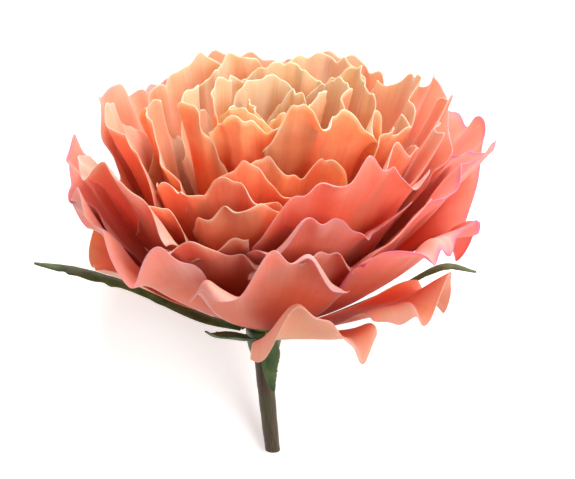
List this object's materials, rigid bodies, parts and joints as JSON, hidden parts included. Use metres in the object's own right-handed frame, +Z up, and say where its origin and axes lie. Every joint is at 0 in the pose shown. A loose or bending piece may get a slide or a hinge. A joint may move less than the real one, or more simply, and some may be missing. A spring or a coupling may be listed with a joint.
{
  "type": "cut garden rose",
  "caption": "Full-blown garden rose with ruffled layered petals, green sepals, a swollen hip and a short cut stem, lying on its side for display or a bouquet.",
  "frame": {"origin": "on the surface the cut flower lies on, below the middle of its outline", "axes": "+Z up from the resting surface; +Y from the cut stem towards the open face of the bloom as it leans up; +X to the flower's right, looking into the bloom from its front"},
  "size_m": [0.1218, 0.1078, 0.0984],
  "materials": {
    "bud_petal": "matt, softly translucent",
    "heart_petal": "matt, softly translucent",
    "cup_petal": "matt, softly translucent",
    "bowl_petal": "matt, softly translucent",
    "outer_petal": "matt, softly translucent",
    "guard_petal": "matt, softly translucent",
    "sepal_green": "satin",
    "receptacle_green": "satin",
    "hip_green": "satin",
    "stem_bark": "satin"
  },
  "bodies": {
    "root": {"bud_1": "bud_petal", "bud_2": "bud_petal", "bud_3": "bud_petal", "bud_4": "bud_petal", "bud_5": "bud_petal", "bud_6": "bud_petal", "heart_1": "heart_petal", "heart_2": "heart_petal", "heart_3": "heart_petal", "heart_4": "heart_petal", "heart_5": "heart_petal", "heart_6": "heart_petal", "heart_7": "heart_petal", "cup_1": "cup_petal", "cup_2": "cup_petal", "cup_3": "cup_petal", "cup_4": "cup_petal", "cup_5": "cup_petal", "cup_6": "cup_petal", "cup_7": "cup_petal", "cup_8": "cup_petal", "bowl_1": "bowl_petal", "bowl_2": "bowl_petal", "bowl_3": "bowl_petal", "bowl_4": "bowl_petal", "bowl_5": "bowl_petal", "bowl_6": "bowl_petal", "bowl_7": "bowl_petal", "bowl_8": "bowl_petal", "bowl_9": "bowl_petal", "bowl_10": "bowl_petal", "bowl_11": "bowl_petal", "outer_1": "outer_petal", "outer_2": "outer_petal", "outer_3": "outer_petal", "outer_4": "outer_petal", "outer_5": "outer_petal", "outer_6": "outer_petal", "outer_7": "outer_petal", "outer_8": "outer_petal", "outer_9": "outer_petal", "outer_10": "outer_petal", "outer_11": "outer_petal", "outer_12": "outer_petal", "outer_13": "outer_petal", "guard_1": "guard_petal", "guard_2": "guard_petal", "guard_3": "guard_petal", "guard_4": "guard_petal", "guard_5": "guard_petal", "sepal_1": "sepal_green", "sepal_2": "sepal_green", "sepal_3": "sepal_green", "sepal_4": "sepal_green", "sepal_5": "sepal_green", "receptacle": "receptacle_green", "hip": "hip_green", "stem": "stem_bark"}
  },
  "joints": []
}
